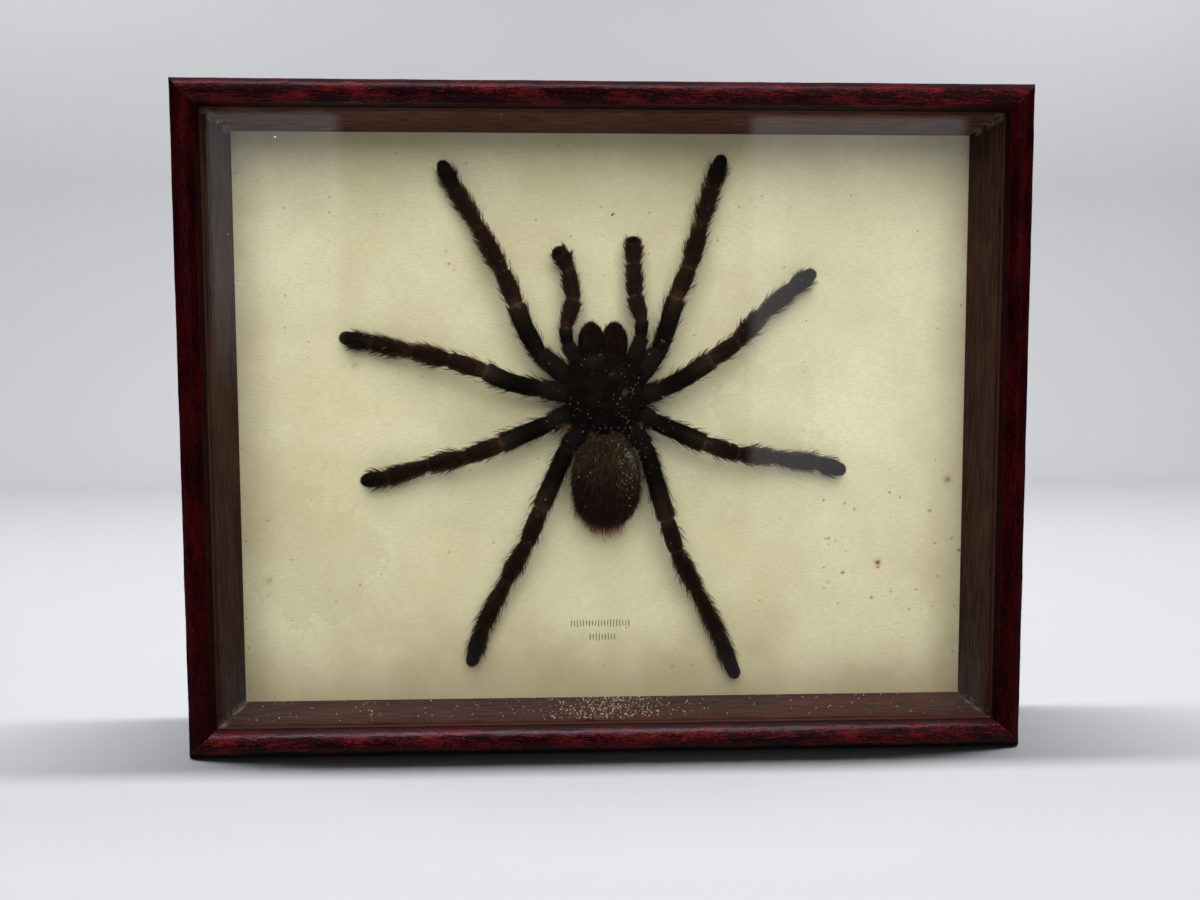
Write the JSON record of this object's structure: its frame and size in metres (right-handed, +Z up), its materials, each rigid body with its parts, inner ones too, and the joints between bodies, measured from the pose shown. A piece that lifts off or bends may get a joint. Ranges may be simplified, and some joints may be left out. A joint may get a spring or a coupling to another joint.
{
  "type": "framed tarantula specimen",
  "caption": "Dried tarantula with spread legs on a cream paper-faced card in a deep glazed red-brown wooden frame, for display on a shelf or wall.",
  "frame": {"origin": "middle of the underside of the frame, at half its depth", "axes": "+X to the right along the frame's width, +Y towards the back, +Z up; the glass faces -Y"},
  "size_m": [0.2414, 0.036, 0.1905],
  "materials": {
    "lacquered_wood": "glossy red-black mottled lacquer over straight-grained wood, matt dark brown on the inner walls",
    "clear_glass": "thin clear flat glass with a little dust",
    "cream_paper": null,
    "hardboard": "brown pressed hardboard, matt",
    "zinced_steel": "dull zinc-coated sheet",
    "brassed_steel": "slightly tarnished brass plating on pressed steel",
    "dry_cuticle": null
  },
  "bodies": {
    "root": {"rail_top": "lacquered_wood", "rail_bottom": "lacquered_wood", "rail_left": "lacquered_wood", "rail_right": "lacquered_wood", "glass": "clear_glass", "mount_card": "cream_paper", "back_panel": "hardboard", "framers_point_bottom_1": "zinced_steel", "framers_point_bottom_2": "zinced_steel", "framers_point_top_1": "zinced_steel", "framers_point_top_2": "zinced_steel", "framers_point_left_1": "zinced_steel", "framers_point_left_2": "zinced_steel", "framers_point_right_1": "zinced_steel", "framers_point_right_2": "zinced_steel", "hanger_plate": "brassed_steel", "hanger_rivet_left": "brassed_steel", "hanger_rivet_right": "brassed_steel", "tarantula": "dry_cuticle"}
  },
  "joints": []
}
